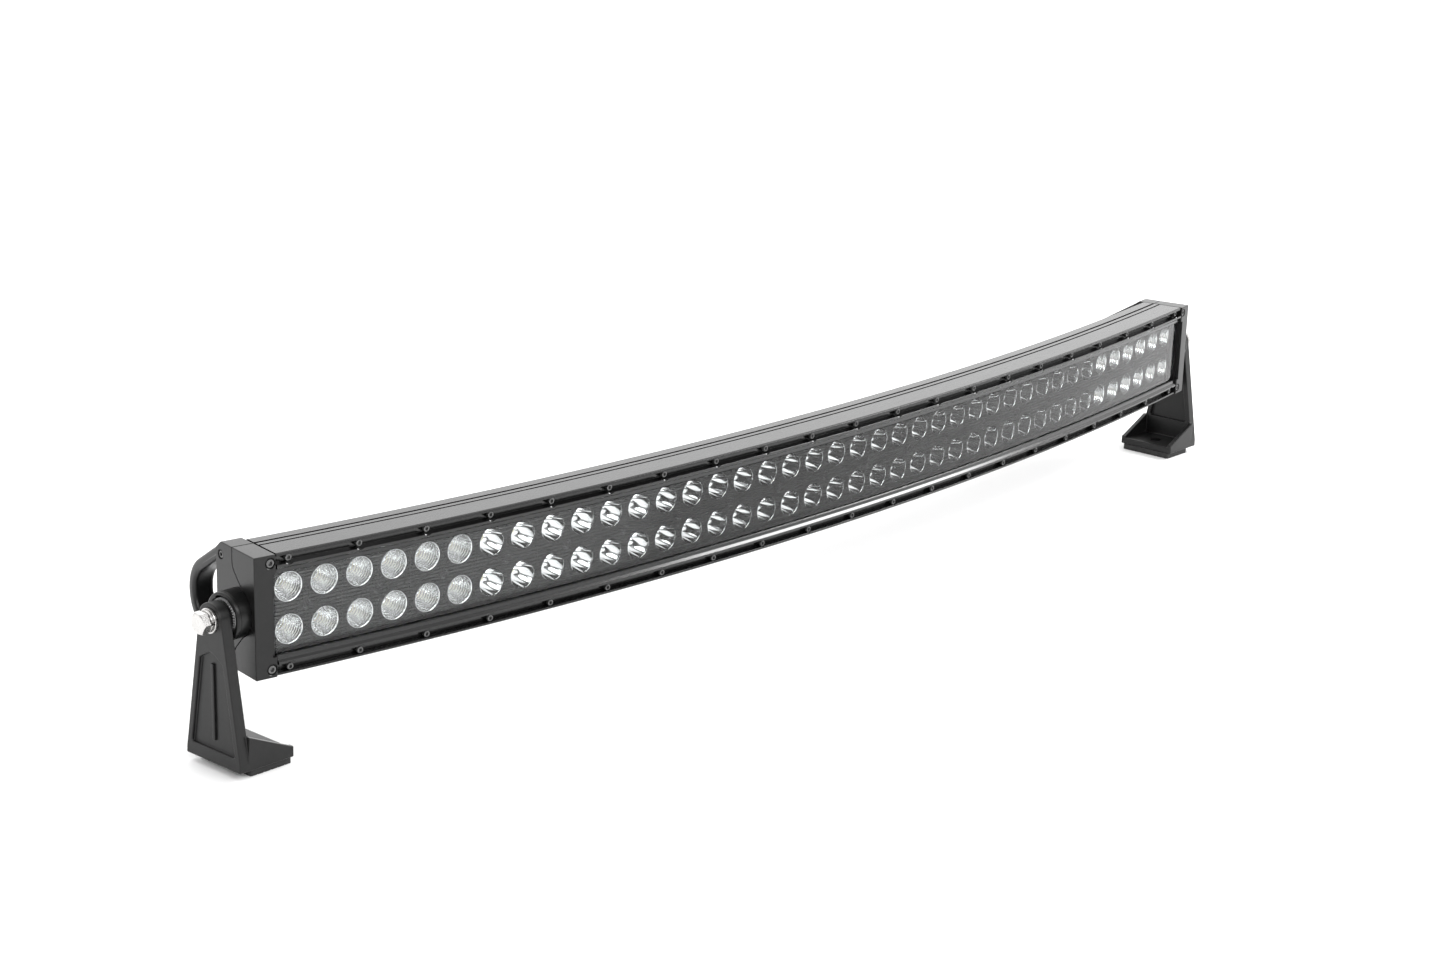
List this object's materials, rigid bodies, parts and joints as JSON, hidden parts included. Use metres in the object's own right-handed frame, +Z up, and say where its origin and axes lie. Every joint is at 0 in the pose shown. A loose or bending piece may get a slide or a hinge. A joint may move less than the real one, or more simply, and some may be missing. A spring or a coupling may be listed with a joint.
{
  "type": "led light bar",
  "caption": "Long curved off-road light bar with paired rows of reflector lamps behind a clear lens, finned back and tilting end brackets on ribbed rubber feet.",
  "frame": {"origin": "on the mounting surface, midway between the two foot bolts and straight under the tilt axis", "axes": "+X along the bar to the right as seen from behind it, +Y to the finned back so that the lamps face -Y, +Z up"},
  "size_m": [1.1112, 0.1289, 0.1375],
  "materials": {
    "black_anodised_body": "satin",
    "black_rail": "satin",
    "black_casting": "satin",
    "black_bracket": "satin",
    "black_screw": "semi-gloss",
    "stainless_steel": "brushed",
    "serrated_insert": "satin",
    "chrome_reflector": "mirror",
    "black_reflector_face": "matte",
    "led_board": "matte",
    "led_emitter": "gloss",
    "wire_insulation": "gloss",
    "clear_lens": "gloss",
    "silicone_seal": "matte",
    "black_nylon": "matte",
    "rubber_pad": "matte"
  },
  "bodies": {
    "mount": {"left_bracket": "black_bracket", "right_bracket": "black_bracket", "left_foot_pad": "rubber_pad", "right_foot_pad": "rubber_pad"},
    "bar": {"housing": "black_anodised_body", "led_boards": "led_board", "led_emitters": "led_emitter", "supply_wires": "wire_insulation", "reflector_01": "chrome_reflector", "reflector_02": "chrome_reflector", "reflector_03": "chrome_reflector", "reflector_04": "chrome_reflector", "reflector_05": "chrome_reflector", "reflector_06": "chrome_reflector", "reflector_07": "chrome_reflector", "reflector_08": "chrome_reflector", "reflector_09": "chrome_reflector", "reflector_10": "chrome_reflector", "reflector_11": "chrome_reflector", "reflector_12": "chrome_reflector", "reflector_13": "chrome_reflector", "reflector_14": "chrome_reflector", "reflector_15": "chrome_reflector", "reflector_16": "chrome_reflector", "reflector_17": "chrome_reflector", "reflector_18": "chrome_reflector", "reflector_19": "chrome_reflector", "reflector_20": "chrome_reflector", "reflector_faces": "black_reflector_face", "reflector_screws": "black_screw", "lens_gasket": "silicone_seal", "front_lens": "clear_lens", "upper_rail": "black_rail", "lower_rail": "black_rail", "upper_rail_screws": "black_screw", "lower_rail_screws": "black_screw", "left_end_gasket": "silicone_seal", "right_end_gasket": "silicone_seal", "left_end_cap": "black_casting", "right_end_cap": "black_casting", "left_end_guard": "black_casting", "right_end_guard": "black_casting", "end_cap_screws": "black_screw", "end_guard_screws": "black_screw", "left_hub_insert": "serrated_insert", "right_hub_insert": "serrated_insert", "cable_gland": "black_nylon", "breather_vent": "black_nylon", "left_pivot_bolt": "stainless_steel", "right_pivot_bolt": "stainless_steel", "left_spring_washer": "stainless_steel", "right_spring_washer": "stainless_steel", "left_flat_washer": "stainless_steel", "right_flat_washer": "stainless_steel"}
  },
  "joints": [
    {"name": "tilt", "type": "hinge", "parent": "mount", "child": "bar", "pos_m": [0, 0, 0.098], "axis": [1, 0, 0], "range_deg": [-90, 90]}
  ]
}
